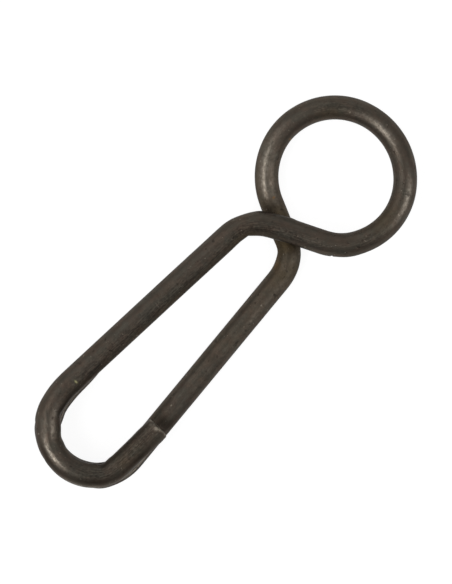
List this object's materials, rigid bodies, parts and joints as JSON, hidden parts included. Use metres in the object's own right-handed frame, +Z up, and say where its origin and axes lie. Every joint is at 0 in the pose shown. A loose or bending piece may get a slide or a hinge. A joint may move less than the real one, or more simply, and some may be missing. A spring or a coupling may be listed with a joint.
{
  "type": "hooklink clip",
  "caption": "Bent-wire fishing clip: a round line eye, a crossed neck and two springy legs that end in overlapping hooks for a hooklink loop.",
  "frame": {"origin": "centre of the line eye, half way between the upper and the lower strand", "axes": "+X along the clip from the hooks to the eye, +Z up from the surface it lies on"},
  "size_m": [0.0142, 0.0047, 0.0014],
  "materials": {
    "spring_wire": "dark matt oxide on drawn stainless spring wire, fine drawing lines, satin sheen"
  },
  "bodies": {
    "root": {"clip_wire": "spring_wire"}
  },
  "joints": []
}
